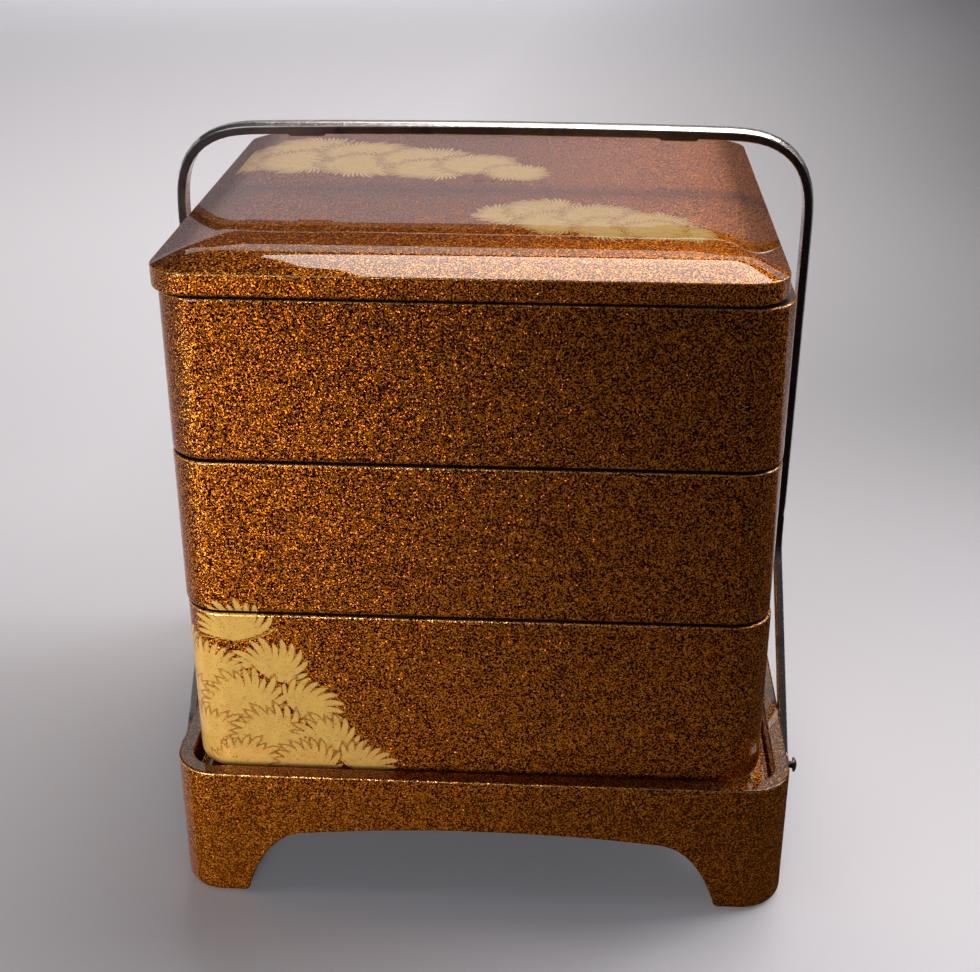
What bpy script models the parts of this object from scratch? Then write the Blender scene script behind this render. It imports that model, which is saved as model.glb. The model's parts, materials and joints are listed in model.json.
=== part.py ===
"""Three stacked lacquered boxes with a lid on a footed tray, carried by one metal bail."""
import math

import bmesh
import bpy
from mathutils import Matrix, Vector

# All sizes are in metres. The plan is centred on the tray and the feet stand at height zero.
# X runs along the handle's bar and the front faces minus Y.

# Boxes
BOX_WIDTH = 0.1800
BOX_DEPTH = 0.1720
BOX_CORNER = 0.0130
BOX_WALL = 0.0040
BOX_FLOOR = 0.0040
BOX_UNDER_ROUNDING = 0.0018
BOTTOM_BODY = 0.0577
MIDDLE_BODY = 0.05007
TOP_BODY = 0.04971
BOTTOM_UNDER_ROUNDING = 0.0036
FOOT_DEPTH = 0.0044
FOOT_RING_WALL = 0.0040
FOOT_CLEARANCE = 0.0012
BOX_ARRIS = 0.0004
BOX_FILLET = 0.0015
BOTTOM_SHIFT = -0.00156
MIDDLE_SHIFT = -0.00206
TOP_SHIFT = -0.00198

# Tray
TRAY_HEIGHT = 0.0468
TRAY_CORNER = 0.0140
RIM_THICKNESS = 0.0049
RECESS_DEPTH = 0.0088
RECESS_SIDE_GAP = 0.00275
RECESS_FRONT_GAP = 0.0026
TRAY_FLOOR = 0.0050
APRON_THICKNESS = 0.0060
FOOT_LENGTH = 0.02145
FOOT_ROUNDING = 0.0028
ARCH_HEIGHT = 0.0275
ARCH_SHOULDER_HEIGHT = 0.0245
ARCH_SHOULDER_LENGTH = 0.0192
FOOT_END_ROUNDING = 0.0034
FOOT_TAPER = 0.0012
RIM_ROUNDING = 0.0007
RECESS_FILLET = 0.0008

# Lid
LID_SIDE_GAIN = -0.00025
LID_FRONT_GAIN = 0.00075
LID_CORNER = 0.0130
LID_BAND = 0.0068
LID_BEVEL_WIDTH = 0.0150
LID_BEVEL_RISE = 0.0047
LID_CROWN = 0.0015
LID_TOP_THICKNESS = 0.0034
LIP_CLEARANCE = 0.0029
LIP_WALL = 0.0030
LIP_DEPTH = 0.0040
LID_TOP_CORNER = 0.0040
LID_ARRIS = 0.0004
CEILING_SLOPE = 0.0060
CEILING_DROP = 0.0024
LID_SHIFT = -0.00394

# Handle
HANDLE_CLEARANCE = 0.00095
FINGER_ROOM = 0.01372
HANDLE_SHIFT = -0.0006
HANDLE_LEAN = -0.0006
LEG_SPREAD = 0.0008
BAR_CROWN = 0.00055
BAND_DEPTH = 0.0070
BAND_THICKNESS = 0.0026
BAR_RIDGE = 0.0010
LEG_RIDGE = 0.0005
BEND_LENGTH = 0.0525
PAD_INSET = 0.0401
PAD_LENGTH = 0.0110
PAD_THICKNESS = 0.00065
PAD_RAMP = 0.0008
FORK_RISE = 0.0538
FORK_NECK = 0.0120
FORK_THICKNESS = 0.0025
STRUT_WIDTH = 0.0050
FORK_BEND = 0.0090
CROTCH_BEND = 0.0050
PLATE_SHOULDER = 0.0040
BURIED_LENGTH = 0.0080
BURIED_DEPTH = 0.0004
METAL_ARRIS = 0.0003
EYE_SETBACK = 0.0360
EYE_DROP = 0.0146
EYE_RADIUS = 0.0042

# Pins
PIN_RADIUS = 0.0012
PIN_HEAD_RADIUS = 0.0025
PIN_HEAD_HEIGHT = 0.0013
PIN_ARRIS = 0.0003
PIN_HEAD_GAP = 0.00125
PIN_BITE = 0.0030

# Fits
REST_GAP = 0.0003
PIN_CLEARANCE = 0.0003

# Fineness
CORNER_STEPS = 8
ARRIS = 0.0006
LEAST_CORNER = 0.0012
CUT_MARGIN = 0.0020

# Plan sizes that follow from the boxes
TRAY_WIDTH = BOX_WIDTH + 2 * (RECESS_SIDE_GAP + RIM_THICKNESS)
TRAY_DEPTH = BOX_DEPTH + 2 * (RECESS_FRONT_GAP + RIM_THICKNESS)
LID_WIDTH = BOX_WIDTH + 2 * LID_SIDE_GAIN
LID_DEPTH = BOX_DEPTH + 2 * LID_FRONT_GAIN
HANDLE_INNER_SPAN = TRAY_WIDTH + 2 * HANDLE_CLEARANCE
PAD_CENTRE = HANDLE_INNER_SPAN / 2 - PAD_INSET
EYE_OFFSET = TRAY_DEPTH / 2 - EYE_SETBACK

# Heights of the stack and of the handle
RECESS_TOP = TRAY_HEIGHT - RECESS_DEPTH
BOTTOM_BASE = RECESS_TOP + REST_GAP + FOOT_DEPTH
MIDDLE_BASE = BOTTOM_BASE + BOTTOM_BODY + REST_GAP
TOP_BASE = MIDDLE_BASE + MIDDLE_BODY + REST_GAP
LID_BASE = TOP_BASE + TOP_BODY + REST_GAP
LID_TOP = LID_BASE + LID_BAND + LID_BEVEL_RISE + LID_CROWN
HANDLE_TOP = LID_TOP + FINGER_ROOM + BAND_THICKNESS
EYE_HEIGHT = TRAY_HEIGHT - EYE_DROP
FORK_APEX = EYE_HEIGHT + FORK_RISE
FORK_TOP = FORK_APEX + FORK_NECK


def plan_loop(width, depth, corner, height, centre):
    """Rounded rectangle in plan with the same number of points each time."""
    corners = ((1, 1, 0.0), (-1, 1, 0.5), (-1, -1, 1.0), (1, -1, 1.5))
    points = []
    for side_x, side_y, start in corners:
        middle_x = centre + side_x * (width / 2 - corner)
        middle_y = side_y * (depth / 2 - corner)
        for step in range(CORNER_STEPS + 1):
            angle = math.pi * (start + 0.5 * step / CORNER_STEPS)
            x = middle_x + corner * math.cos(angle)
            y = middle_y + corner * math.sin(angle)
            points.append(Vector((x, y, height)))
    return points


def stacked(width, depth, corner, profile, centre=0.0):
    """Plan loops for a profile that lists the inset from the outline and the height."""
    loops = []
    for inset, height in profile:
        radius = max(corner - inset, LEAST_CORNER)
        loops.append(plan_loop(width - 2 * inset, depth - 2 * inset, radius, height, centre))
    return loops


def under_round(radius, base):
    """Profile of a rounded lower edge, from its underside to the upright wall."""
    points = []
    for step in range(5):
        angle = math.radians(22.5 * step)
        inset = radius * (1 - math.sin(angle))
        points.append((inset, base + radius * (1 - math.cos(angle))))
    return points


def closed_solid(name, loops):
    """Skin a row of loops and close the first and the last one."""
    mesh_edit = bmesh.new()
    rings = [[mesh_edit.verts.new(point) for point in loop] for loop in loops]
    for lower, upper in zip(rings, rings[1:]):
        for index in range(len(lower)):
            following = (index + 1) % len(lower)
            mesh_edit.faces.new((lower[index], lower[following], upper[following], upper[index]))
    mesh_edit.faces.new(list(reversed(rings[0])))
    mesh_edit.faces.new(rings[-1])
    bmesh.ops.recalc_face_normals(mesh_edit, faces=mesh_edit.faces)
    mesh = bpy.data.meshes.new(name)
    mesh_edit.to_mesh(mesh)
    mesh_edit.free()
    solid = bpy.data.objects.new(name, mesh)
    bpy.context.scene.collection.objects.link(solid)
    return solid


def combine(target, other, operation):
    """Exact Boolean of two solids; the second one is used up."""
    modifier = target.modifiers.new("Boolean", "BOOLEAN")
    modifier.operation = operation
    modifier.solver = "EXACT"
    modifier.object = other
    graph = bpy.context.evaluated_depsgraph_get()
    result = bpy.data.meshes.new_from_object(target.evaluated_get(graph))
    target.modifiers.clear()
    target.data = result
    bpy.data.objects.remove(other)


def dress(solid, colour, roughness, metallic):
    """Give a piece its own material and smooth its round faces."""
    material = bpy.data.materials.new(solid.name)
    material.use_nodes = True
    shader = material.node_tree.nodes["Principled BSDF"]
    shader.inputs["Base Color"].default_value = (*colour, 1.0)
    shader.inputs["Roughness"].default_value = roughness
    shader.inputs["Metallic"].default_value = metallic
    solid.data.materials.clear()
    solid.data.materials.append(material)
    solid.data.shade_smooth()
    solid.data.set_sharp_from_angle(angle=math.radians(32))


def round_bar(name, side_x, side_y, start, end, radius):
    """Round cutter along X at the place of one pin."""
    loops = []
    for x in (start, end):
        loop = []
        for step in range(16):
            angle = 2 * math.pi * step / 16
            y = side_y * EYE_OFFSET + radius * math.cos(angle)
            z = EYE_HEIGHT + radius * math.sin(angle)
            loop.append(Vector((side_x * x, y, z)))
        loops.append(loop)
    return closed_solid(name, loops)


# Tray: one skin round the feet, the rim and the recess, then an arch through each side
def arch_cutter(name, wall_length, cut_length):
    """Prism along Y whose section is the arch between two feet."""
    half = wall_length / 2 - FOOT_LENGTH
    shoulder = half - ARCH_SHOULDER_LENGTH
    drop = ARCH_HEIGHT - ARCH_SHOULDER_HEIGHT
    radius = (shoulder ** 2 + drop ** 2) / (2 * drop)
    outline = []
    for step in range(6):
        x = shoulder * step / 5
        outline.append((x, ARCH_HEIGHT - radius + math.sqrt(radius ** 2 - x ** 2)))
    start = Vector((shoulder, ARCH_SHOULDER_HEIGHT))
    leaving = Vector((half - 0.43 * ARCH_SHOULDER_LENGTH, ARCH_SHOULDER_HEIGHT * 0.943))
    arriving = Vector((half - 3 * FOOT_TAPER, ARCH_SHOULDER_HEIGHT * 0.41))
    end = Vector((half - FOOT_TAPER, FOOT_END_ROUNDING))
    for step in range(1, 10):
        t = step / 9
        near = start * (1 - t) ** 3 + leaving * (3 * t * (1 - t) ** 2)
        far = arriving * (3 * t ** 2 * (1 - t)) + end * t ** 3
        outline.append(tuple(near + far))
    foot_end = half - FOOT_TAPER + FOOT_END_ROUNDING
    for step in range(1, 4):
        angle = math.radians(90 + 30 * (3 - step))
        x = foot_end + FOOT_END_ROUNDING * math.cos(angle)
        outline.append((x, FOOT_END_ROUNDING * (1 - math.sin(angle))))
    outline.append((foot_end, -CUT_MARGIN))
    section = [(-x, z) for x, z in reversed(outline[1:])] + outline
    loops = []
    for y in (-cut_length / 2, cut_length / 2):
        loops.append([Vector((x, y, z)) for x, z in section])
    return closed_solid(name, loops)


def build_tray():
    under = RECESS_TOP - TRAY_FLOOR
    rounding = RIM_ROUNDING
    profile = [(APRON_THICKNESS, under), (APRON_THICKNESS, ARRIS), (APRON_THICKNESS - ARRIS, 0.0)]
    profile += under_round(FOOT_ROUNDING, 0.0)
    profile += [(0.0, TRAY_HEIGHT - rounding), (0.3 * rounding, TRAY_HEIGHT - 0.3 * rounding)]
    profile += [(rounding, TRAY_HEIGHT), (RIM_THICKNESS - ARRIS, TRAY_HEIGHT)]
    profile += [(RIM_THICKNESS, TRAY_HEIGHT - ARRIS), (RIM_THICKNESS, RECESS_TOP + RECESS_FILLET)]
    profile += [(RIM_THICKNESS + RECESS_FILLET, RECESS_TOP)]
    tray = closed_solid("Tray", stacked(TRAY_WIDTH, TRAY_DEPTH, TRAY_CORNER, profile))
    front_arch = arch_cutter("Front_arch", TRAY_WIDTH, TRAY_DEPTH + 2 * CUT_MARGIN)
    combine(tray, front_arch, "DIFFERENCE")
    side_arch = arch_cutter("Side_arch", TRAY_DEPTH, TRAY_WIDTH + 2 * CUT_MARGIN)
    side_arch.data.transform(Matrix.Rotation(math.pi / 2, 4, "Z"))
    combine(tray, side_arch, "DIFFERENCE")
    inner_end = TRAY_WIDTH / 2 - PIN_BITE
    outer_end = TRAY_WIDTH / 2 + CUT_MARGIN
    for side_x in (-1, 1):
        for side_y in (-1, 1):
            hole = round_bar("Hole", side_x, side_y, inner_end, outer_end, PIN_RADIUS + PIN_CLEARANCE)
            combine(tray, hole, "DIFFERENCE")
    dress(tray, (0.27, 0.115, 0.03), 0.22, 0.35)


# Boxes: straight walls, a floor and a stepped foot ring below it
def build_box(name, base, body, rounding, shift):
    top = base + body
    ring = BOX_WALL + FOOT_CLEARANCE
    ring_inside = ring + FOOT_RING_WALL
    floor_top = base + BOX_FLOOR
    under = base - FOOT_DEPTH
    profile = [(ring_inside, base), (ring_inside, under), (ring + ARRIS, under)]
    profile += [(ring, under + ARRIS), (ring, base)]
    profile += under_round(rounding, base)
    profile += [(0.0, top - BOX_ARRIS), (BOX_ARRIS, top)]
    profile += [(BOX_WALL - BOX_ARRIS, top), (BOX_WALL, top - BOX_ARRIS)]
    profile += [(BOX_WALL, floor_top + BOX_FILLET), (BOX_WALL + BOX_FILLET, floor_top)]
    box = closed_solid(name, stacked(BOX_WIDTH, BOX_DEPTH, BOX_CORNER, profile, shift))
    dress(box, (0.27, 0.115, 0.03), 0.2, 0.35)


# Lid: upright band, broad bevel and low dome, hollow below with a locating lip
def build_lid():
    lip = (LID_WIDTH - BOX_WIDTH) / 2 + BOX_WALL + LIP_CLEARANCE
    lip_inside = lip + LIP_WALL
    band_top = LID_BASE + LID_BAND
    bevel_top = band_top + LID_BEVEL_RISE
    ceiling = bevel_top - LID_TOP_THICKNESS
    profile = [(lip_inside + CEILING_SLOPE, ceiling), (lip_inside, ceiling - CEILING_DROP)]
    profile += [(lip_inside, LID_BASE - LIP_DEPTH), (lip + ARRIS, LID_BASE - LIP_DEPTH)]
    profile += [(lip, LID_BASE - LIP_DEPTH + ARRIS), (lip, LID_BASE)]
    profile += [(LID_ARRIS, LID_BASE), (0.0, LID_BASE + LID_ARRIS)]
    profile += [(0.0, band_top - LID_ARRIS), (LID_ARRIS, band_top)]
    profile += [(0.30 * LID_BEVEL_WIDTH, band_top + 0.36 * LID_BEVEL_RISE)]
    profile += [(0.63 * LID_BEVEL_WIDTH, band_top + 0.72 * LID_BEVEL_RISE)]
    dome_span = min(LID_WIDTH, LID_DEPTH) / 2 - LID_BEVEL_WIDTH
    for part in (0.0, 0.06, 0.15, 0.28, 0.45, 0.66, 0.88):
        inset = LID_BEVEL_WIDTH + part * dome_span
        profile.append((inset, bevel_top + LID_CROWN * (1 - (1 - part) ** 2.6)))
    loops = []
    for inset, height in profile:
        radius = max(LID_CORNER - 0.55 * inset, LID_TOP_CORNER)
        width = LID_WIDTH - 2 * inset
        depth = LID_DEPTH - 2 * inset
        loops.append(plan_loop(width, depth, radius, height, LID_SHIFT))
    lid = closed_solid("Lid", loops)
    dress(lid, (0.24, 0.10, 0.03), 0.16, 0.35)


# Handle: a ridged band swept over the bar and down both legs, with a forked plate at each end
def bend_turn(distance):
    """Angle turned inside one corner bend, which eases in and out."""
    part = min(max(distance / BEND_LENGTH, 0.0), 1.0)
    return part - math.sin(2 * math.pi * part) / (2 * math.pi)


def band_path():
    """Stations from the middle of the bar to the right fork: place, slope, pad and ridge."""
    bar_slope = math.atan(2 * BAR_CROWN / PAD_CENTRE)
    turn = math.pi / 2 - bar_slope
    reach = 0.0
    for step in range(400):
        slope = bar_slope + turn * bend_turn(BEND_LENGTH * (step + 0.5) / 400)
        reach += math.cos(slope) * BEND_LENGTH / 400
    bar_half = HANDLE_INNER_SPAN / 2 + LEG_SPREAD - reach
    pad_start = PAD_CENTRE - PAD_LENGTH / 2
    pad_end = PAD_CENTRE + PAD_LENGTH / 2
    marks = {0.0, bar_half / 3, bar_half * 2 / 3}
    marks |= {pad_start - PAD_RAMP, pad_start, pad_end, pad_end + PAD_RAMP}
    for step in range(19):
        mark = bar_half + BEND_LENGTH * step / 18
        if abs(mark - PAD_CENTRE) > PAD_LENGTH / 2 + 2 * PAD_RAMP:
            marks.add(mark)
    stations = []
    place = Vector((0.0, HANDLE_TOP + BAR_CROWN - BAND_THICKNESS))
    travelled = 0.0
    for mark in sorted(marks):
        pieces = max(int((mark - travelled) / 0.0001), 1)
        length = (mark - travelled) / pieces
        for piece in range(pieces):
            along = travelled + (piece + 0.5) * length
            slope = bar_slope * min(along / bar_half, 1.0) + turn * bend_turn(along - bar_half)
            place = place + Vector((math.cos(slope), -math.sin(slope))) * length
        travelled = mark
        turned = bend_turn(mark - bar_half)
        slope = bar_slope * min(mark / bar_half, 1.0) + turn * turned
        pad = PAD_THICKNESS if pad_start - 0.0001 < mark < pad_end + 0.0001 else 0.0
        stations.append((place.copy(), slope, pad, BAR_RIDGE + (LEG_RIDGE - BAR_RIDGE) * turned))
    leg = Vector((HANDLE_INNER_SPAN / 2, FORK_TOP + PLATE_SHOULDER))
    stations.append((leg, math.pi / 2, 0.0, LEG_RIDGE))
    return stations


def band_section(place, slope, pad, ridge):
    """Loop round the band: flat inside, moulded to a broad ridge outside."""
    half = BAND_DEPTH / 2
    thick = BAND_THICKNESS
    arris = METAL_ARRIS
    outline = [(-half, arris - pad), (-half + arris, -pad), (half - arris, -pad), (half, arris - pad)]
    outline += [(half, thick - arris), (half - arris, thick), (half * 0.45, thick + ridge * 0.85)]
    outline += [(0.0, thick + ridge), (-half * 0.45, thick + ridge * 0.85)]
    outline += [(-half + arris, thick), (-half, thick - arris)]
    loop = []
    for y, out in outline:
        x = place.x + out * math.sin(slope)
        z = place.y + out * math.cos(slope)
        loop.append(Vector((x, y, z)))
    return loop


def buried_end(height):
    """Last section of a leg, small enough to end inside the forked plate."""
    half = BAND_DEPTH / 2 - BURIED_DEPTH
    inner = HANDLE_INNER_SPAN / 2 + BURIED_DEPTH
    depth = FORK_THICKNESS - 2.5 * BURIED_DEPTH
    shares = (-1, -0.9, 0.9, 1, 1, 0.9, 0.45, 0, -0.45, -0.9, -1)
    sides = (0.1, 0, 0, 0.1, 0.9, 1, 1, 1, 1, 1, 0.9)
    return [Vector((inner + depth * side, half * share, height)) for share, side in zip(shares, sides)]


def arc_points(middle, radius, start, end, steps):
    """Points on an arc in the plate's plane, angles in radians."""
    points = []
    for step in range(steps + 1):
        angle = start + (end - start) * step / steps
        points.append((middle[0] + radius * math.cos(angle), middle[1] + radius * math.sin(angle)))
    return points


def fork_outline(inset):
    """Outline of the forked plate in Y and Z, drawn smaller by the inset."""
    run = math.hypot(EYE_OFFSET, FORK_APEX - EYE_HEIGHT)
    along = (EYE_OFFSET / run, (EYE_HEIGHT - FORK_APEX) / run)
    across = (-along[1], along[0])
    lean = math.atan2(across[1], across[0])
    leg = BAND_DEPTH / 2 - inset
    strut = STRUT_WIDTH / 2 - inset
    bend = FORK_BEND + inset
    crotch = CROTCH_BEND + inset
    eye = EYE_RADIUS - inset
    bend_y = leg + bend
    bend_z = (across[1] * FORK_APEX + strut + bend - across[0] * bend_y) / across[1]
    crotch_z = FORK_APEX - (strut + crotch) / across[1]
    neck = math.asin(strut / eye)
    facing = math.atan2(along[1], along[0])
    half = [(leg, FORK_TOP - inset)]
    half += arc_points((bend_y, bend_z), bend, math.pi, math.pi + lean, 4)
    half += arc_points((EYE_OFFSET, EYE_HEIGHT), eye, facing + math.pi - neck, facing - math.pi + neck, 12)
    half += arc_points((0.0, crotch_z), crotch, lean, math.pi / 2, 3)
    mirrored = [(-y, z) for y, z in reversed(half[:-1])]
    return half + mirrored


def build_handle():
    right = band_path()
    loops = [band_section(*station) for station in right]
    loops.append(buried_end(FORK_TOP - BURIED_LENGTH))
    left = []
    for loop in reversed(loops[1:]):
        left.append([Vector((-point.x, point.y, point.z)) for point in loop])
    handle = closed_solid("Handle", left + loops)
    inner = HANDLE_INNER_SPAN / 2 + BURIED_DEPTH / 8
    arris = METAL_ARRIS
    layers = ((arris, 0.0), (0.0, arris), (0.0, FORK_THICKNESS - arris), (arris, FORK_THICKNESS))
    for side in (-1, 1):
        plate_loops = []
        for inset, out in layers:
            plate_loops.append([Vector((side * (inner + out), y, z)) for y, z in fork_outline(inset)])
        combine(handle, closed_solid("Fork", plate_loops), "UNION")
    for side_x in (-1, 1):
        for side_y in (-1, 1):
            start = HANDLE_INNER_SPAN / 2 - CUT_MARGIN
            end = HANDLE_INNER_SPAN / 2 + FORK_THICKNESS + CUT_MARGIN
            hole = round_bar("Hole", side_x, side_y, start, end, PIN_RADIUS + PIN_CLEARANCE)
            combine(handle, hole, "DIFFERENCE")
    lean = HANDLE_LEAN / (HANDLE_TOP - EYE_HEIGHT)
    placing = Matrix.Translation((HANDLE_SHIFT - lean * EYE_HEIGHT, 0.0, 0.0))
    placing[0][2] = lean
    handle.data.transform(placing)
    dress(handle, (0.36, 0.34, 0.35), 0.32, 1.0)


# Pins: domed heads outside the eyes, shanks that end in the tray's wall
def build_pin(name, side_x, side_y):
    tip = TRAY_WIDTH / 2 - PIN_BITE + PIN_CLEARANCE
    seat = HANDLE_INNER_SPAN / 2 + FORK_THICKNESS + PIN_HEAD_GAP
    head = PIN_HEAD_RADIUS
    rise = PIN_HEAD_HEIGHT
    profile = [(tip, PIN_RADIUS - PIN_ARRIS), (tip + PIN_ARRIS, PIN_RADIUS), (seat, PIN_RADIUS)]
    profile += [(seat, head - 0.7 * PIN_ARRIS), (seat + PIN_ARRIS, head), (seat + rise * 0.54, head * 0.86)]
    profile += [(seat + rise * 0.85, head * 0.5), (seat + rise, head * 0.14)]
    loops = []
    for x, radius in profile:
        loop = []
        for step in range(14):
            angle = 2 * math.pi * step / 14
            y = side_y * EYE_OFFSET + radius * math.cos(angle)
            z = EYE_HEIGHT + radius * math.sin(angle)
            loop.append(Vector((side_x * x, y, z)))
        loops.append(loop)
    dress(closed_solid(name, loops), (0.07, 0.06, 0.06), 0.4, 1.0)


for leftover in list(bpy.data.objects):
    bpy.data.objects.remove(leftover)

build_tray()
build_box("Bottom_tier", BOTTOM_BASE, BOTTOM_BODY, BOTTOM_UNDER_ROUNDING, BOTTOM_SHIFT)
build_box("Middle_tier", MIDDLE_BASE, MIDDLE_BODY, BOX_UNDER_ROUNDING, MIDDLE_SHIFT)
build_box("Top_tier", TOP_BASE, TOP_BODY, BOX_UNDER_ROUNDING, TOP_SHIFT)
build_lid()
build_handle()
build_pin("Handle_pin_front_left", -1, -1)
build_pin("Handle_pin_front_right", 1, -1)
build_pin("Handle_pin_rear_left", -1, 1)
build_pin("Handle_pin_rear_right", 1, 1)
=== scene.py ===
"""Tiered picnic box: lacquered boxes and lid on a footed tray, carried by a silver-coloured bail."""
import json
import math

import bmesh
import bpy
from mathutils import Matrix, Vector, noise

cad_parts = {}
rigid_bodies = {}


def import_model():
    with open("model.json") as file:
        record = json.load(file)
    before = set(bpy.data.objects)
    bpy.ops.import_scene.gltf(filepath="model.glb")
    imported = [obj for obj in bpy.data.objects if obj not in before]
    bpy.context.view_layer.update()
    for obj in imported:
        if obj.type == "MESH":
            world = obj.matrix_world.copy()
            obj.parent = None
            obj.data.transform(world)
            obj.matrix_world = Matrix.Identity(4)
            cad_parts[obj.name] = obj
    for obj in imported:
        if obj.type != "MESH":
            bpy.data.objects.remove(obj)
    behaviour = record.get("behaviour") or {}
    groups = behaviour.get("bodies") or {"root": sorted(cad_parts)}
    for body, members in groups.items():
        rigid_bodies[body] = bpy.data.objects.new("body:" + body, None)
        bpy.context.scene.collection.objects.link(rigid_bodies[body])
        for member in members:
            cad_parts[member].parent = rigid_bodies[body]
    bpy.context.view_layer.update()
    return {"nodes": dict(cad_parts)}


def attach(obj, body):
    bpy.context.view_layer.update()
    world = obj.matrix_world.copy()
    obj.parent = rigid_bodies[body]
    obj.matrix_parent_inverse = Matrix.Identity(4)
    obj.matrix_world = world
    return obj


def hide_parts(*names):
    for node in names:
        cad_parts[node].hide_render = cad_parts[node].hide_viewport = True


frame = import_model()

# The tray is the stand under the boxes: a wooden frame with a sunk floor, an arch cut through each
# side and four corner feet. It is lacquered all over with sprinkled gold under a clear amber coat,
# and its inside, like that of the boxes, is plain dark lacquer.
TRAY = (0.1953, 0.1870, 0.0140)
TRAY_HEIGHT = 0.0468
TRAY_RECESS = 0.0380
TRAY_UNDERSIDE = 0.0330
TRAY_WALL = 0.0060
TRAY_RIM = 0.0049
SMALLEST_CORNER = 0.0012
FOOT_ROUND = 0.0028
FOOT_WIDTH = 0.02145
ARCH_FLANK = 0.0192
ARCH_CROWN = 0.0275
ARCH_SHOULDER = 0.0245
ARCH_SPLAY = 0.0012
ARCH_TOE = 0.0034
# Sizes are in metres, but the heights that the finishes follow are in millimetres.
TRAY_ARRIS = 46.3


def plan_loop(width, depth, corner, height, shift=0.0, turns=14, spans=1):
    """Rounded rectangle in plan, counted from the back end of the right side."""
    points = []
    corners = ((1, 1, 0.0), (-1, 1, 0.5), (-1, -1, 1.0), (1, -1, 1.5))
    arcs = []
    for side_x, side_y, start in corners:
        arc = []
        for step in range(turns + 1):
            angle = math.pi * (start + 0.5 * step / turns)
            x = side_x * (width / 2 - corner) + corner * math.cos(angle)
            y = side_y * (depth / 2 - corner) + corner * math.sin(angle)
            arc.append(Vector((x + shift, y, height)))
        arcs.append(arc)
    for arc, following in zip(arcs, arcs[1:] + arcs[:1]):
        points += arc
        for step in range(1, spans):
            points.append(arc[-1].lerp(following[0], step / spans))
    return points


def rounded(profile, radii, steps=4):
    """A profile of (inset, height) points with its corners turned on small arcs."""
    result = []
    for index, point in enumerate(profile):
        radius = radii.get(index, 0.0)
        here = Vector(point)
        if radius == 0.0:
            result.append(here)
            continue
        back = (Vector(profile[index - 1]) - here).normalized()
        ahead = (Vector(profile[index + 1]) - here).normalized()
        half = back.angle(ahead) / 2
        reach = radius / math.tan(half)
        start = here + back * reach
        end = here + ahead * reach
        for step in range(steps + 1):
            share = step / steps
            near = start.lerp(here, share)
            far = here.lerp(end, share)
            result.append(near.lerp(far, share))
    return result


def skinned(name, loops, inside_rings=()):
    """Skin a row of loops, close both ends and mark the faces of the plain inside."""
    made = bmesh.new()
    rings = [[made.verts.new(point) for point in loop] for loop in loops]
    for row, (lower, upper) in enumerate(zip(rings, rings[1:])):
        for index in range(len(lower)):
            after = (index + 1) % len(lower)
            face = made.faces.new((lower[index], lower[after], upper[after], upper[index]))
            face.material_index = int(row in inside_rings)
            face.smooth = True
    for ring, row in ((list(reversed(rings[0])), 0), (rings[-1], len(rings) - 2)):
        face = made.faces.new(ring)
        face.material_index = int(row in inside_rings)
        face.smooth = True
    bmesh.ops.recalc_face_normals(made, faces=made.faces)
    mesh = bpy.data.meshes.new(name)
    made.to_mesh(mesh)
    made.free()
    piece = bpy.data.objects.new(name, mesh)
    bpy.context.scene.collection.objects.link(piece)
    return piece


def cut_or_join(piece, other, operation):
    """Exact Boolean of two closed pieces; the second one is used up."""
    modifier = piece.modifiers.new("Boolean", "BOOLEAN")
    modifier.operation = operation
    modifier.solver = "EXACT"
    modifier.object = other
    graph = bpy.context.evaluated_depsgraph_get()
    piece.data = bpy.data.meshes.new_from_object(piece.evaluated_get(graph))
    piece.modifiers.clear()
    bpy.data.objects.remove(other)


def foot_height(point):
    """Height of the feet's level underside and its round edge at a point in plan."""
    beyond_x = max(abs(point.x) - TRAY[0] / 2 + TRAY[2], 0.0)
    beyond_y = max(abs(point.y) - TRAY[1] / 2 + TRAY[2], 0.0)
    inset = TRAY[2] - math.hypot(beyond_x, beyond_y)
    short = min(max(FOOT_ROUND - inset, 0.0), FOOT_ROUND)
    return FOOT_ROUND - math.sqrt(FOOT_ROUND ** 2 - short ** 2)


def soften_arrises(piece, width, steps=3, angle=35):
    """Round the sharp arrises, hold the feet to their height and shade flat faces flat."""
    bevel = piece.modifiers.new("Arrises", "BEVEL")
    bevel.width = width
    bevel.segments = steps
    bevel.limit_method = "ANGLE"
    bevel.angle_limit = math.radians(angle)
    bevel.use_clamp_overlap = False
    graph = bpy.context.evaluated_depsgraph_get()
    piece.data = bpy.data.meshes.new_from_object(piece.evaluated_get(graph))
    piece.modifiers.clear()
    for vertex in piece.data.vertices:
        vertex.co.z = max(vertex.co.z, foot_height(vertex.co))
    weighted = piece.modifiers.new("Flat faces", "WEIGHTED_NORMAL")
    weighted.keep_sharp = True


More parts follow.
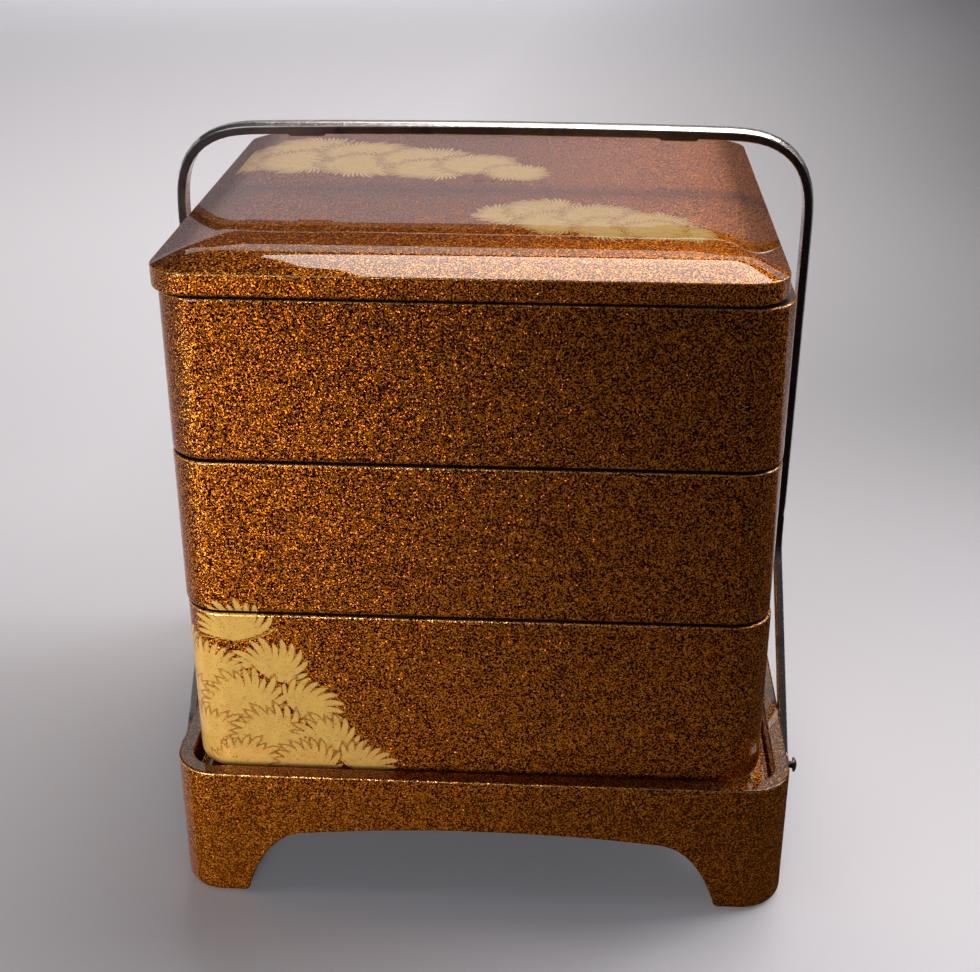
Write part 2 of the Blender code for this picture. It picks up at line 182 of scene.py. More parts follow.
class Signal:
    """One socket of a material's nodes; arithmetic on it adds Math nodes."""

    def __init__(self, tree, socket=None):
        self.tree = tree
        self.socket = socket

    def node(self, kind, inputs=(), settings=(), output=0):
        """Add a node, set its settings, then set or link its inputs, and give one of its outputs."""
        made = self.tree.nodes.new("ShaderNode" + kind)
        for key, value in dict(settings).items():
            if key == "stops":
                ramp = made.color_ramp.elements
                while len(ramp) < len(value):
                    ramp.new(1.0)
                for stop, (place, colour) in zip(ramp, value):
                    stop.position = place
                    stop.color = (*colour, 1.0)
            else:
                setattr(made, key, value)
        for key, value in dict(inputs).items():
            if isinstance(value, Signal):
                self.tree.links.new(value.socket, made.inputs[key])
            else:
                made.inputs[key].default_value = value
        return Signal(self.tree, made.outputs[output])

    def maths(self, operation, *terms):
        return self.node("Math", dict(enumerate(terms)), {"operation": operation})

    def vector_maths(self, operation, *terms):
        return self.node("VectorMath", dict(enumerate(terms)), {"operation": operation})

    def at_least(self, low):
        """The number, or low where that is more."""
        return self.maths("MAXIMUM", self, low)

    def unsigned(self):
        """The number without its sign."""
        return self.maths("ABSOLUTE", self)

    def mixed(self, base, top):
        """Colour that goes from base to top as this signal goes from 0 to 1."""
        return self.node("Mix", {0: self, 6: base, 7: top}, {"data_type": "RGBA"}, 2)

    def scaled(self, share):
        """This vector or colour times a number."""
        return self.node("VectorMath", {0: self, "Scale": share}, {"operation": "SCALE"})

    def parts(self):
        """The three parts of this vector."""
        split = self.node("SeparateXYZ", {0: self}).socket.node
        return [Signal(self.tree, socket) for socket in split.outputs]

    def smooth(self, low, high):
        """0 below low and 1 above high, with a soft step between."""
        inputs = {"Value": self, "From Min": low, "From Max": high}
        return self.node("MapRange", inputs, {"interpolation_type": "SMOOTHSTEP"})

    def __add__(self, other):
        return self.maths("ADD", self, other)

    def __sub__(self, other):
        return self.maths("SUBTRACT", self, other)

    def __rsub__(self, other):
        return self.maths("SUBTRACT", other, self)

    def __mul__(self, other):
        return self.maths("MULTIPLY", self, other)

    def __truediv__(self, other):
        return self.maths("DIVIDE", self, other)

    __radd__ = __add__
    __rmul__ = __mul__


def new_material(name, **values):
    """A material with its surface's constant values set on the shader's own sockets."""
    material = bpy.data.materials.new(name)
    material.use_nodes = True
    shader = material.node_tree.nodes["Principled BSDF"]
    for key, value in values.items():
        shader.inputs[key.replace("_", " ")].default_value = value
    return material, shader, Signal(material.node_tree)


def feed(shader, **signals):
    """Link signals to the shader's sockets of the same names."""
    for key, signal in signals.items():
        signal.tree.links.new(signal.socket, shader.inputs[key.replace("_", " ")])


def places(start):
    """Object coordinates in millimetres."""
    return start.node("TexCoord", output=3).scaled(1000.0)


AMBER_STOPS = (
    (0.34, (0.001, 0.0002, 0.0001)),
    (0.46, (0.075, 0.011, 0.0005)),
    (0.66, (0.21, 0.044, 0.002)),
    (0.88, (0.48, 0.130, 0.006)),
    (1.0, (0.76, 0.31, 0.035)),
)
FINE_FLAKES = (0.22, 0.060, 0.005, 1.0)
# Pale gold of the painted highlight along the arrises and seams.
ARRIS_HIGHLIGHT_GOLD = (1.0, 0.55, 0.16, 1.0)
MOTIF_GOLD = (0.76, 0.46, 0.12)


def sprinkled_lacquer(
    name, motif=None, gold=MOTIF_GOLD, arrises=(), seams=(), shade=None, calm=None
):
    """Amber lacquer over flakes of gold that lie at all angles, with a mirror-smooth clear coat.

    A motif lies in flat gold on the same ground. Arrises and seams are heights in millimetres where
    a painted highlight of pale gold runs along an edge, brighter towards the left, and just above a
    seam a painted shade makes a dark line. Shade is painted shade that darkens the flakes, or
    painted light that lightens them where it is below zero, and calm is how much finer they look.
    """
    material, shader, start = new_material(
        name, Coat_Weight=1.0, Coat_Roughness=0.025, Coat_IOR=1.45, Specular_IOR_Level=0.0,
        Specular_Tint=(0.8, 0.34, 0.08, 1.0)
    )
    spot = places(start)
    clumps = spot.node("TexNoise", {"Vector": spot, "Scale": 1.95, "Detail": 2.0, "Roughness": 0.55})
    drifts = spot.node("TexNoise", {"Vector": spot, "Scale": 0.38, "Detail": 3.0})
    flakes = spot.node("TexVoronoi", {"Vector": spot, "Scale": 3.3}, output=1)
    flake = flakes.node("SeparateColor", {0: flakes})
    amount = clumps.smooth(0.36, 0.58) * 0.75 + flake * 0.32 + (drifts - 0.5) * 0.25
    colour = amount.node("ValToRGB", {0: amount}, {"stops": AMBER_STOPS})
    if calm:
        colour = calm(spot).mixed(colour, FINE_FLAKES)
    if shade:
        colour = colour.scaled(1 - shade(spot))
    metal = amount.smooth(0.2, 0.5) * 0.7
    rough = flake * 0.14 + 0.24
    lean = flakes.vector_maths("SUBTRACT", flakes, (0.5, 0.5, 0.5)).scaled(0.55)
    side, _, height = spot.parts()
    bright = 0.0
    # Painted highlight: a line of pale gold along each arris and seam, only where the flakes clump
    # and brighter towards the left.
    for arris in arrises + seams:
        bright = (height - arris).unsigned().smooth(0.26, 0.08) + bright
    # Painted shade: a dark line just above each seam, where the boxes meet.
    for seam in seams:
        dark = (height - seam).smooth(0.4, 0.7) * (height - seam).smooth(2.2, 1.4) * 0.6
        colour = colour.scaled(1 - dark)
        metal = metal * (1 - dark)
    if arrises + seams:
        bright = bright * clumps.smooth(0.36, 0.56) * (0.75 - side / 300)
        colour = bright.mixed(colour, ARRIS_HIGHLIGHT_GOLD)
    if motif:
        mask = motif(spot) * (1 - (1 - clumps.smooth(0.32, 0.36)) * 0.8)
        thin_gold = tuple(part * 0.86 for part in gold)
        leaf = drifts.smooth(0.2, 0.8).mixed((*gold, 1.0), (*thin_gold, 1.0))
        colour = mask.mixed(colour, leaf)
        metal = metal * (1 - mask) + mask * 0.45
        rough = rough * (1 - mask) + mask * 0.28
        lean = lean.scaled(1 - mask * 0.85)
    facing = start.node("NewGeometry", output=1)
    facing = facing.vector_maths("NORMALIZE", facing.vector_maths("ADD", facing, lean))
    feed(shader, Base_Color=colour, Metallic=metal, Roughness=rough, Normal=facing)
    return material


def needle_fan(behind, across, along, centre, reach, heading, spread, needles, curl):
    """One tuft of pine needles laid over what is behind it, with a thin dark line round its tips.

    The centre and reach are in millimetres; the heading and spread, to each side of it, in degrees.
    """
    turn = math.radians(heading)
    east, north = across - centre[0], along - centre[1]
    ahead = east * math.cos(turn) + north * math.sin(turn)
    aside = north * math.cos(turn) - east * math.sin(turn)
    squared = east * east + north * north
    far = squared.maths("SQRT", squared) / reach
    angle = aside.maths("ARCTAN2", aside, ahead) + far * far * curl
    place = angle * (needles / math.pi) + 100.0
    number = place.maths("FLOOR", place)
    length = number.node("TexWhiteNoise", {"W": number + centre[0]}, {"noise_dimensions": "1D"})
    off_axis = (place - number - 0.5).unsigned() * 2
    room = 1 - (far - 0.68 + length * 0.2) / 0.34
    room = room.maths("MINIMUM", room * 2.2, room * 0.6 + 0.35)
    room = room.maths("MINIMUM", room, (math.radians(spread) - angle.unsigned()) * 6) - off_axis
    outline = room.smooth(-0.75, -0.35) * far.smooth(0.66, 0.78) * (1.12 - far).smooth(0.0, 0.06)
    behind = behind * (1 - outline * 0.6)
    return room.smooth(-0.25, 0.15).at_least(behind)


def plain_lacquer(name):
    """Plain dark lacquer of the insides and undersides."""
    material, shader, start = new_material(name, Coat_Weight=1.0, Coat_Roughness=0.08, Roughness=0.5)
    spot = places(start)
    cloud = spot.node("TexNoise", {"Vector": spot, "Scale": 0.12, "Detail": 3.0})
    feed(shader, Base_Color=cloud.mixed((0.012, 0.005, 0.003, 1), (0.03, 0.011, 0.005, 1)))
    return material


def arch_cutter(name, wall_length, cut_length):
    """Prism along Y with the arch's section: a flat crown, a curved flank and a small round toe."""
    half = wall_length / 2 - FOOT_WIDTH
    shoulder = half - ARCH_FLANK
    drop = ARCH_CROWN - ARCH_SHOULDER
    radius = (shoulder ** 2 + drop ** 2) / (2 * drop)
    outline = []
    for step in range(18):
        x = shoulder * step / 17
        outline.append((x, ARCH_CROWN - radius + math.sqrt(radius ** 2 - x ** 2)))
    start = Vector((shoulder, ARCH_SHOULDER))
    leaving = Vector((half - 0.43 * ARCH_FLANK, ARCH_SHOULDER * 0.943))
    arriving = Vector((half - 3 * ARCH_SPLAY, ARCH_SHOULDER * 0.41))
    end = Vector((half - ARCH_SPLAY, ARCH_TOE))
    for step in range(1, 29):
        t = step / 28
        near = start * (1 - t) ** 3 + leaving * (3 * t * (1 - t) ** 2)
        far = arriving * (3 * t ** 2 * (1 - t)) + end * t ** 3
        outline.append(tuple(near + far))
    foot_end = half - ARCH_SPLAY + ARCH_TOE
    for step in range(1, 9):
        angle = math.pi - math.pi / 2 * step / 9
        outline.append((foot_end + ARCH_TOE * math.cos(angle), ARCH_TOE * (1 - math.sin(angle))))
    outline.append((foot_end, -0.002))
    section = [(-x, z) for x, z in reversed(outline[1:])] + outline
    loops = [[Vector((x, y, z)) for x, z in section] for y in (-cut_length / 2, cut_length / 2)]
    return skinned(name, loops)


def tray_painted_light_and_shade(spot):
    """Painted light and shade: the outside is made a little paler than the stack, and the flat of
    the rim is painted darker.
    """
    return spot.parts()[2].smooth(46.4, 46.7) * 0.75 - 0.15


def tray_calm(spot):
    """The flakes look finer towards the feet."""
    return spot.parts()[2].smooth(60.0, 0.0) * 0.2


profile = [(TRAY_WALL, TRAY_UNDERSIDE), (TRAY_WALL, 0.0)]
for step in range(11):
    angle = math.pi / 2 * step / 10
    profile.append((FOOT_ROUND * (1 - math.sin(angle)), FOOT_ROUND * (1 - math.cos(angle))))
rim = [(0.0, 0.03), (0.0, TRAY_HEIGHT), (TRAY_RIM, TRAY_HEIGHT), (TRAY_RIM, TRAY_RECESS)]
rim += [(0.012, TRAY_RECESS)]
profile += [tuple(point) for point in rounded(rim, {1: 0.0007, 2: 0.0006, 3: 0.0010}, 5)]
loops = []
for inset, height in profile:
    corner = max(TRAY[2] - inset, SMALLEST_CORNER)
    loops.append(plan_loop(TRAY[0] - 2 * inset, TRAY[1] - 2 * inset, corner, height))
tray = skinned("Tray_body", loops, inside_rings=(0,))
cut_or_join(tray, arch_cutter("Front_arch", TRAY[0], TRAY[1] + 0.004), "DIFFERENCE")
side_arch = arch_cutter("Side_arch", TRAY[1], TRAY[0] + 0.004)
side_arch.data.transform(Matrix.Rotation(math.pi / 2, 4, "Z"))
cut_or_join(tray, side_arch, "DIFFERENCE")
soften_arrises(tray, 0.0006)
ground = sprinkled_lacquer(
    "Sprinkled gold lacquer", arrises=(TRAY_ARRIS,), shade=tray_painted_light_and_shade, calm=tray_calm
)
inside = plain_lacquer("Plain dark lacquer")
tray.data.materials.append(ground)
tray.data.materials.append(inside)
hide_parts("Tray")
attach(tray, "root")

# The three boxes are open trays of thin wood with a foot ring that drops into the box below. Their
# outsides carry the same sprinkled gold, and the bottom one has a clump of young pine in gold.
BOX = (0.1800, 0.1720, 0.0130)
BOX_WALL = 0.004
RING_INSET = 0.0052
RING_DEPTH = 0.0044
BOX_GAP = 0.0003
BOTTOM_RIM = 100.1
MIDDLE_RIM = 150.5
TOP_RIM = 200.3


def box_piece(name, node, base, body, under_round, shift, material):
    """One tier with its foot ring, floor and walls."""
    top, edge, floor = base + body, base + BOX_GAP, base + BOX_WALL
    ring_inside, under = RING_INSET + BOX_WALL, base - RING_DEPTH
    outline = [(ring_inside, base), (ring_inside, under), (RING_INSET, under), (RING_INSET, edge)]
    outline += [(0.0, edge), (0.0, top), (BOX_WALL, top), (BOX_WALL, floor), (0.012, floor)]
    radii = {2: 0.0006, 4: under_round, 5: 0.0008, 6: 0.0005, 7: 0.0015}
    made = []
    inside_rings = set()
    turned = rounded(outline, radii, 6)
    for index, (inset, height) in enumerate(turned):
        corner = max(BOX[2] - inset, SMALLEST_CORNER)
        made.append(plan_loop(BOX[0] - 2 * inset, BOX[1] - 2 * inset, corner, height, shift))
        past_rim = index > 0 and inset > 0.0007 and height > base + 0.003
        if past_rim or inset > 0.0045 and height < base + 0.0004:
            inside_rings.add(index)
    piece = skinned(name, made, inside_rings)
    weighted = piece.modifiers.new("Flat faces", "WEIGHTED_NORMAL")
    weighted.keep_sharp = True
    piece.data.materials.append(material)
    piece.data.materials.append(inside)
    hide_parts(node)
    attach(piece, "root")
    return piece


def round_corner(spot):
    """Distance round the front left corner from the front's start, height, and where that holds."""
    x, y, z = spot.parts()
    corner_x, corner_y, corner = -78.8, -73.0, 13.0
    past = (corner_x - x).at_least(0.0)
    bend = past.maths("ARCTAN2", past, (corner_y - y).at_least(0.0)) * corner
    across = (x - corner_x).at_least(0.0) - bend - (y - corner_y).at_least(0.0)
    return across, z, (62 - x).smooth(0.0, 1.0) * (40 - y).smooth(0.0, 1.0)


# Each fan: centre, reach, heading, spread, number of needles and curl.
TOP_FAN = ((3, 91), 15, 88, 84, 14, -0.3)
YOUNG_PINE = (
    ((-17, 50), 14, 122, 86, 13, 0.3), ((-15, 79), 15, 118, 82, 13, 0.35), TOP_FAN,
    ((-4, 76), 15, 105, 84, 13, 0.3), ((13, 78), 15, 58, 82, 13, -0.35),
    ((-13, 63), 15, 112, 84, 13, 0.3), ((5, 66), 16, 82, 86, 14, -0.25),
    ((22, 64), 15, 48, 82, 13, 0.35), ((-6, 51), 16, 104, 84, 14, 0.3),
    ((13, 53), 16, 74, 86, 14, -0.3), ((30, 51), 15, 52, 82, 13, -0.35),
    ((4, 43), 14, 90, 86, 13, 0.25), ((41, 43), 13, 66, 84, 12, 0.3),
    ((24, 42), 14, 88, 86, 13, -0.3),
)


def young_pine(spot):
    """A clump of young pine that grows from the lower left and turns round the corner."""
    across, z, near = round_corner(spot)
    left = across + 21 - (z - 60).at_least(0.0) * 0.3
    mask = (97 - z - (across + 15) * 1.05).smooth(0.0, 1.5) * left.smooth(0.0, 1.5)
    for fan in YOUNG_PINE:
        mask = needle_fan(mask, across, z, *fan)
    return mask * near


def pine_top(spot):
    """The one tuft that reaches up on to the middle box."""
    across, z, near = round_corner(spot)
    return needle_fan(0.0, across, z, *TOP_FAN) * near


def box_painted_light(spot):
    """Painted light: the stack is made a little lighter towards the tray."""
    return spot.parts()[2].smooth(110.0, 50.0) * -0.2


lower_seams, upper_seams = (BOTTOM_RIM, MIDDLE_RIM), (MIDDLE_RIM, TOP_RIM)
pine = sprinkled_lacquer(
    "Sprinkled gold with young pine", young_pine, seams=lower_seams, shade=box_painted_light
)
ground_between = sprinkled_lacquer(
    "Sprinkled gold with the tip of the pine", pine_top, seams=lower_seams, shade=box_painted_light
)
ground_above = sprinkled_lacquer("Sprinkled gold of the top box", seams=upper_seams)
box_piece("Bottom_box", "Bottom_tier", 0.0427, 0.0577, 0.0036, -0.00156, pine)
box_piece("Middle_box", "Middle_tier", 0.1007, 0.05007, 0.0018, -0.00206, ground_between)
box_piece("Top_box", "Top_tier", 0.15107, 0.04951, 0.0018, -0.00198, ground_above)

# The lid is one piece of lacquered wood with an upright band, a broad bevel and a low dome. Its lip
# drops into the top box and nothing else holds it. Two sprays of young pine in gold lie on its top.
LID = (0.1795, 0.1735, 0.0130)
LID_BASE = 0.20108
LID_SHIFT = -0.00394
BAND_HEIGHT = 0.0068
LIP_INSET = 0.00665
LIP_WALL = 0.0030
LIP_DEPTH = 0.0040
HOLLOW_TOP = 0.20918
HOLLOW_SIDE = 0.20678
BAND_ARRIS = 207.75
LID_GOLD = (0.86, 0.60, 0.25)
band_top = LID_BASE + BAND_HEIGHT
seat, lip_end = LID_BASE + BOX_GAP, LID_BASE - LIP_DEPTH
lip_inside = LIP_INSET + LIP_WALL
lid_outline = [(LIP_INSET + 0.009, HOLLOW_TOP), (lip_inside, HOLLOW_SIDE), (lip_inside, lip_end)]
lid_outline += [(LIP_INSET, lip_end), (LIP_INSET, seat), (0.0, seat), (0.0, band_top)]
lid_outline += [(0.0030, band_top + 0.00116)]
turned = rounded(lid_outline, {3: 0.0006, 5: 0.0009, 6: 0.0006}, 6)
loops = []
for inset, height in turned:
    corner = max(LID[2] - 0.55 * inset, 0.004)
    loops.append(
        plan_loop(LID[0] - 2 * inset, LID[1] - 2 * inset, corner, height, LID_SHIFT, spans=16)
    )
# The top's slope in degrees at each inset, from the bevel's arris to the middle. Its hand-rubbed
# face is not quite true.
slopes = ((0.003, 20), (0.0065, 19), (0.0084, 16.5), (0.0097, 12.5), (0.0115, 8.5), (0.0150, 5.0))
slopes += ((0.0190, 2.8), (0.0240, 1.2), (0.0300, 0.5), (0.0500, 0.2), (0.0868, 0.0))
inset, height = lid_outline[-1]
while inset < 0.0860:
    step = 0.0007 if inset < 0.022 else 0.0018
    for (near, steep), (far, gentle) in zip(slopes, slopes[1:]):
        if near <= inset <= far:
            slope = steep + (gentle - steep) * (inset - near) / (far - near)
    inset += step
    height += step * math.tan(math.radians(slope))
    half = (LID[0] / 2 - inset, LID[1] / 2 - inset)
    corner = LID[2] - 0.55 * min(inset, 0.012) + 1.25 * max(inset - 0.012, 0.0)
    corner = min(corner, half[1] * 0.98)
    loop = plan_loop(2 * half[0], 2 * half[1], corner, height, LID_SHIFT, spans=16)
    unevenness = 0.000022 * min(1.0, max(inset - 0.012, 0.0) / 0.006)
    for point in loop:
        point.z += unevenness * noise.noise(point * 38.0)
    loops.append(loop)
lid = skinned("Lid_body", loops, inside_rings=set(range(0, 10)))
weighted = lid.modifiers.new("Flat faces", "WEIGHTED_NORMAL")
weighted.keep_sharp = True
PINE_SPRAYS = (
    ((-84, 30), 19, 150, 188, 30, 0.3), ((-66, 42), 19, 120, 188, 31, -0.3),
    ((-66, 24), 18, 235, 188, 30, 0.3), ((-46, 36), 19, 80, 188, 31, 0.3),
    ((-44, 20), 18, 262, 188, 30, -0.3), ((-26, 30), 18, 60, 188, 30, -0.3),
    ((-22, 15), 16, 285, 188, 28, 0.3), ((-7, 22), 16, 30, 188, 27, 0.35),
    ((6, 12), 12, 345, 188, 23, -0.3), ((6, -38), 12, 165, 188, 23, 0.3),
    ((17, -33), 14, 95, 188, 27, -0.3), ((20, -46), 13, 255, 188, 26, 0.3),
    ((33, -38), 14, 62, 188, 27, 0.3), ((37, -51), 13, 285, 188, 26, -0.3),
    ((48, -45), 13, 10, 188, 26, -0.35), ((58, -55), 9, 335, 130, 19, 0.3),
    ((49, -52), 11, 300, 188, 23, 0.3),
)


def pine_sprays(spot):
    """Two sprays of pine: one swings in from the back left, one lies at the front right."""
    x, y, z = spot.parts()
    mask = 0.0
    for fan in PINE_SPRAYS:
        mask = needle_fan(mask, x, y, *fan)
    return mask * z.smooth(210.0, 210.4)


def lid_painted_light_and_shade(spot):
    """Painted light and shade on the lid: its flat is darker at the left and lighter at the right,
    its band lighter, and the left of its bevel darker.
    """
    x, _, z = spot.parts()
    flat = z.smooth(210.6, 212.4) * (0.25 - x.smooth(-30.0, 80.0) * 0.85)
    band = z.smooth(207.9, 207.6) * 0.35
    bevel = z.smooth(207.9, 208.5) * (212.4 - z).smooth(0.0, 1.8) * x.smooth(-20.0, -75.0) * 0.45
    return flat - band + bevel


def lid_calm(spot):
    """The flat of the lid has the finest flakes."""
    return spot.parts()[2].smooth(210.6, 212.4) * 0.3


lid_gold = sprinkled_lacquer(
    "Sprinkled gold with pine sprays", pine_sprays, LID_GOLD, (BAND_ARRIS,), (TOP_RIM,),
    lid_painted_light_and_shade, lid_calm
)
lid.data.materials.append(lid_gold)
lid.data.materials.append(inside)
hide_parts("Lid")
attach(lid, "root")

# The handle is one flat bar of silver-coloured metal, bent at its corners and split into two struts
# at each foot. Its outside is rubbed bright by hands. Its narrow faces are darker, partly as tarnish
# and partly as painted shade, and darkest at the right, which is painted shade.
DARK_SILVER = (0.13, 0.105, 0.095, 1)
RUBBED_SILVER = (0.66, 0.62, 0.61, 1)
WARM_TARNISH = (0.34, 0.21, 0.16, 1)
LINE_TARNISH = (0.10, 0.08, 0.075, 1)
BRIGHT_PITS = (0.9, 0.88, 0.86, 1)
metal, shader, start = new_material("Tarnished silver", Metallic=1.0)
spot = places(start)
side, across = spot.parts()[:2]
facing = start.node("NewGeometry", output=1).parts()
tarnish = spot.node("TexNoise", {"Vector": spot, "Scale": 0.09, "Detail": 5.0, "Roughness": 0.65})
pits = spot.node("TexNoise", {"Vector": spot, "Scale": 1.1, "Detail": 3.0, "Roughness": 0.7})
# Painted shade: the narrow front and back faces are darkened, more towards the right, on top of
# their tarnish.
edge = facing[1].unsigned().smooth(0.5, 0.9)
rubbed_and_shaded = tarnish.smooth(0.22, 0.52) * (1 - edge * (0.5 + side.smooth(-70.0, 30.0) * 0.38))
silver = rubbed_and_shaded.mixed(DARK_SILVER, RUBBED_SILVER)
blush = (tarnish - 0.5).unsigned().smooth(0.05, 0.0) * 0.35
silver = blush.mixed(silver, WARM_TARNISH)
lines = (across + 1.4).unsigned().smooth(0.4, 0.1) + (across - 2.6).unsigned().smooth(0.4, 0.1)
silver = (lines * 0.6).mixed(silver, LINE_TARNISH)
silver = (pits.smooth(0.70, 0.76) * edge).mixed(silver, BRIGHT_PITS)
dull = edge * side.smooth(-20.0, -90.0) * 0.25
feed(shader, Base_Color=silver, Roughness=0.34 - rubbed_and_shaded * 0.14 + pits.smooth(0.6, 0.7) * 0.2 + dull)
dent = spot.node("Bump", {"Strength": 0.25, "Distance": 0.0004, "Height": tarnish - lines * 0.25})
feed(shader, Normal=dent)
frame["nodes"]["Handle"].data.materials.clear()
frame["nodes"]["Handle"].data.materials.append(metal)

# The four pins have round heads and are turned from darker metal. Each passes through one eye of
# the handle into the tray's side, so that the bail stands rigid.
turned_metal, shader, start = new_material("Dark turned metal", Metallic=1.0)
spot = places(start)
grime = spot.node("TexNoise", {"Vector": spot, "Scale": 0.8, "Detail": 3.0})
feed(shader, Base_Color=grime.smooth(0.35, 0.6).mixed((0.05, 0.04, 0.035, 1), (0.34, 0.30, 0.28, 1)))
feed(shader, Roughness=0.2 + grime * 0.25)
for place in ("front_left", "front_right", "rear_left", "rear_right"):
    pin = frame["nodes"]["Handle_pin_" + place]
    pin.data.materials.clear()
    pin.data.materials.append(turned_metal)

# The studio is a pale paper floor that turns up into a low wall, with soft lamps above it. Between
# the wall's top and the lamps it is dark, which the lid's coat mirrors.
SWEEP_RADIUS = 3.0
SWEEP_TURN = 0.6
SWEEP_SIDES = 96
WALL_HEIGHT = 1.13
made = bmesh.new()
outline = [(0.4, 0.0), (0.9, 0.0), (1.6, 0.0)]
for step in range(9):
    angle = math.pi / 2 * step / 8
    reach = SWEEP_RADIUS - SWEEP_TURN + SWEEP_TURN * math.sin(angle)
    outline.append((reach, SWEEP_TURN - SWEEP_TURN * math.cos(angle)))
outline.append((SWEEP_RADIUS, WALL_HEIGHT))
centre = made.verts.new((0, 0, 0))
rings = []
for reach, height in outline:
    ring = []
    for step in range(SWEEP_SIDES):
        angle = 2 * math.pi * step / SWEEP_SIDES
        ring.append(made.verts.new((reach * math.cos(angle), reach * math.sin(angle), height)))
    rings.append(ring)
for index in range(SWEEP_SIDES):
    made.faces.new((centre, rings[0][index], rings[0][(index + 1) % SWEEP_SIDES]))
for lower, upper in zip(rings, rings[1:]):
    for index in range(SWEEP_SIDES):
        after = (index + 1) % SWEEP_SIDES
        made.faces.new((lower[index], lower[after], upper[after], upper[index]))
bmesh.ops.recalc_face_normals(made, faces=made.faces)
for face in made.faces:
    face.smooth = True
mesh = bpy.data.meshes.new("Sweep")
made.to_mesh(mesh)
made.free()
sweep = bpy.data.objects.new("Sweep", mesh)
bpy.context.scene.collection.objects.link(sweep)
# Painted shade: the paper is darker far back at the right and just in front, where it is a painted
# shadow that is deepest at the left. Its wall glows towards the left.
PAPER = (0.83, 0.82, 0.88, 1)
WALL_GLOW = (0.95, 0.93, 1.0, 1)
BLACK = (0.0, 0.0, 0.0, 1)
paper, shader, start = new_material("Pale sweep paper", Roughness=0.7, Specular_IOR_Level=0.2)
side, depth, height = start.node("TexCoord", output=3).parts()
glow = height.smooth(0.25, 1.2) * depth.smooth(-0.5, 2.2) * 0.52
glow = glow * (1 - side.smooth(-0.1, 0.8) * 0.6)
far_right = side - depth * 0.127
far_right = far_right.node("MapRange", {"Value": far_right, "From Min": -0.25, "From Max": 0.33})
painted_floor_shade = 1 - far_right * depth.smooth(-0.1, 0.4) * (0.8 - depth.smooth(0.8, 1.8) * 0.18)
painted_floor_shade = painted_floor_shade * (0.88 + depth.smooth(0.2, 0.7) * 0.12)
# Painted shadow on the floor just in front of the boxes, deepest at the left.
near = (0.24 - depth).smooth(0.0, 0.28)
painted_floor_shade = painted_floor_shade * (1 - near * (0.05 + (0.10 - side).smooth(0.0, 0.08) * 0.15))
feed(shader, Base_Color=painted_floor_shade.mixed(BLACK, PAPER), Emission_Color=glow.mixed(BLACK, WALL_GLOW))
shader.inputs["Emission Strength"].default_value = 1.0
mesh.materials.append(paper)

world = bpy.data.worlds.new("Studio")
bpy.context.scene.world = world
world.use_nodes = True
world.node_tree.nodes["Background"].inputs["Color"].default_value = (0.05, 0.05, 0.055, 1)
bpy.context.scene.view_settings.view_transform = "Standard"


def softbox(name, place, target, size, power, colour=(1, 1, 1)):
    """A soft lamp of a given size in metres and power in watts that faces a target."""
    lamp = bpy.data.lights.new(name, "AREA")
    lamp.shape = "RECTANGLE"
    lamp.size, lamp.size_y = size
    lamp.energy = power
    lamp.color = colour
    holder = bpy.data.objects.new(name, lamp)
    holder.location = place
    holder.rotation_euler = (Vector(target) - Vector(place)).to_track_quat("-Z", "Y").to_euler()
    holder.visible_camera = False
    bpy.context.scene.collection.objects.link(holder)


def seen_from_lid(distance, azimuth, elevation):
    """A place in the direction that the lid mirrors, azimuth clockwise from the back."""
    turn, climb = math.radians(azimuth), math.radians(elevation)
    flat = distance * math.cos(climb)
    return (flat * math.sin(turn), flat * math.cos(turn), 0.21 + distance * math.sin(climb))


# The first two lamps are mirrored in the lid: the scrim low in its flat, the softbox in its bevel.
lid_centre = (0.0, 0.0, 0.21)
softbox("Back_scrim", seen_from_lid(2.4, 0, 33), lid_centre, (2.2, 0.5), 4.0, (0.97, 1.0, 0.92))
softbox("Top_softbox", seen_from_lid(1.6, 20, 57), lid_centre, (1.5, 0.8), 19, (1.0, 0.93, 0.86))
bpy.data.lights["Top_softbox"].shape = "ELLIPSE"
softbox("Far_softbox", (-0.4, 2.3, 0.45), (-0.3, 1.6, 0), (1.6, 0.3), 4.4)
softbox("Right_softbox", (1.0, 0.3, 0.9), (0.2, 0, 0.0), (0.5, 0.5), 8)
softbox(
    "Left_softbox", (-0.25, -0.38, 0.13), (-0.10, -0.09, 0.07), (0.16, 0.2), 0.26, (1.0, 0.95, 0.88)
)
softbox("Front_softbox", (0.0, -0.9, 0.2), (0.0, -0.1, 0.0), (0.5, 0.1), 0.6)
softbox("Overhead_softbox", (-0.35, -0.2, 0.95), (-0.05, -0.05, 0.15), (0.3, 0.3), 0.55)
bpy.data.lights["Left_softbox"].spread = math.radians(56)
bpy.data.lights["Front_softbox"].spread = math.radians(60)
for name in ("Far_softbox", "Front_softbox"):
    bpy.data.objects[name].visible_glossy = False

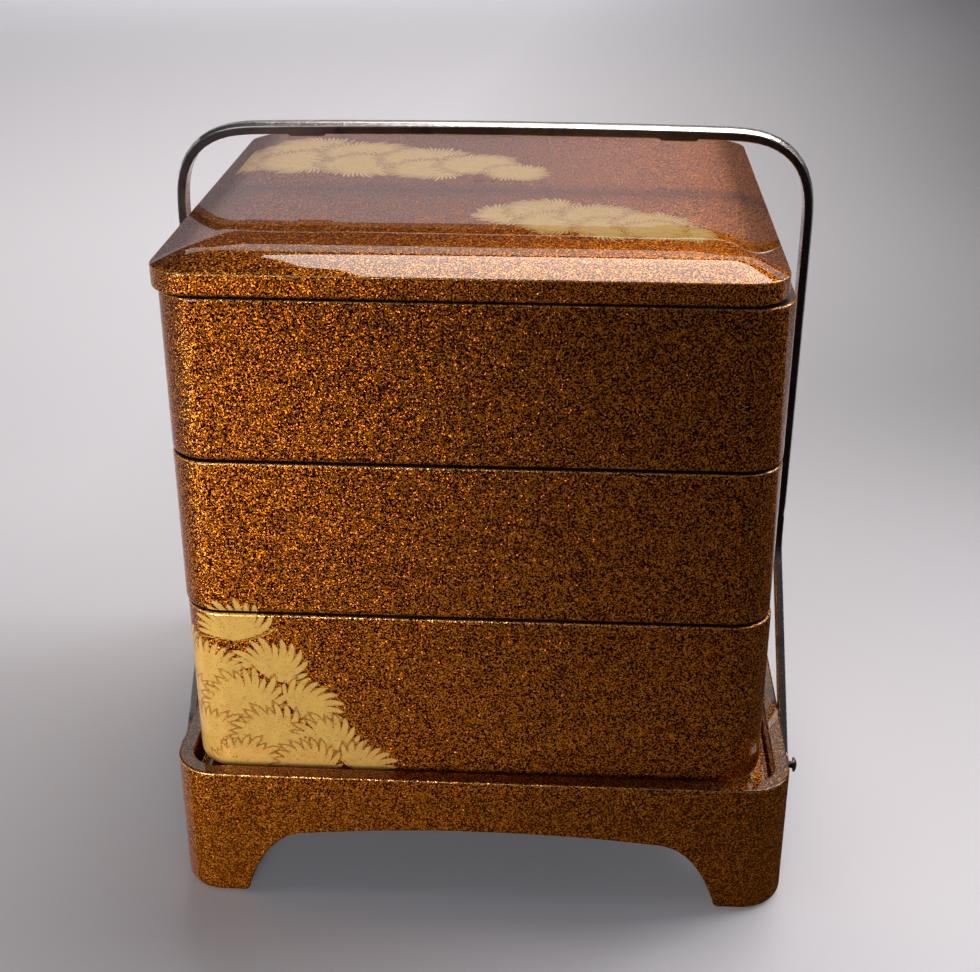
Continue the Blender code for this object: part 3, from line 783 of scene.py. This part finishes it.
# A black card lies in front and at the right, so that the lacquer there mirrors no pale floor.
made = bmesh.new()
corners = [made.verts.new(place) for place in (
    (-0.6, -0.09, 0.001), (1.4, -0.09, 0.001), (1.4, -0.44, 0.001), (-0.6, -0.44, 0.001),
    (1.4, -0.44, 0.24), (-0.6, -0.44, 0.24),
    (0.0, -0.09, 0.001), (0.0, 0.15, 0.001), (1.4, 0.15, 0.001),
)]
made.faces.new((corners[0], corners[6], corners[1], corners[2], corners[3]))
made.faces.new((corners[6], corners[7], corners[8], corners[1]))
made.faces.new((corners[3], corners[2], corners[4], corners[5]))
mesh = bpy.data.meshes.new("Black_card")
made.to_mesh(mesh)
made.free()
card = bpy.data.objects.new("Black_card", mesh)
bpy.context.scene.collection.objects.link(card)
card.visible_camera = False
card.visible_shadow = False
card.visible_diffuse = False
felt, shader, start = new_material("Black card", Roughness=0.9, Specular_IOR_Level=0.1)
shader.inputs["Base Color"].default_value = (0.01, 0.01, 0.01, 1)
side, depth = start.node("TexCoord", output=3).parts()[:2]
feed(shader, Alpha=side.smooth(-0.5, -0.2) * depth.smooth(0.15, 0.08))
mesh.materials.append(felt)

# The camera stands where the photograph was taken; its focal length and shift are in pixels there.
PHOTO_WIDTH = 980
FOCAL_LENGTH = 1568.2
SHIFT = (-9.1, 4.5)
CAMERA_PLACE = (0.02693, -0.4952, 0.33907)
camera = bpy.data.cameras.new("Camera")
camera.lens = FOCAL_LENGTH / PHOTO_WIDTH * 36
camera.sensor_width = 36
camera.shift_x = SHIFT[0] / PHOTO_WIDTH
camera.shift_y = SHIFT[1] / PHOTO_WIDTH
viewer = bpy.data.objects.new("Camera", camera)
bpy.context.scene.collection.objects.link(viewer)
yaw, pitch, roll = math.radians(2.98), math.radians(25.43), math.radians(0.13)
ahead = Vector((-math.sin(yaw) * math.cos(pitch), math.cos(yaw) * math.cos(pitch), -math.sin(pitch)))
right = Vector((math.cos(yaw), math.sin(yaw), 0))
up = right.cross(ahead)
rolled = right * math.cos(roll) + up * math.sin(roll)
rotation = Matrix((rolled, rolled.cross(ahead), -ahead)).transposed()
viewer.matrix_world = Matrix.Translation(CAMERA_PLACE) @ rotation.to_4x4()
bpy.context.scene.camera = viewer

# The lamp at the left is flagged off the floor and the handle, so that the floor keeps its soft
# shadow and the bar has no glare. The low lamp in front lights the floor alone.
flagged = bpy.data.collections.new("Lit from the left")
for piece in bpy.context.scene.objects:
    if piece.type == "MESH" and piece not in (sweep, card, frame["nodes"]["Handle"]):
        flagged.objects.link(piece)
bpy.data.objects["Left_softbox"].light_linking.receiver_collection = flagged
floor_only = bpy.data.collections.new("Lit from the front")
floor_only.objects.link(sweep)
bpy.data.objects["Front_softbox"].light_linking.receiver_collection = floor_only
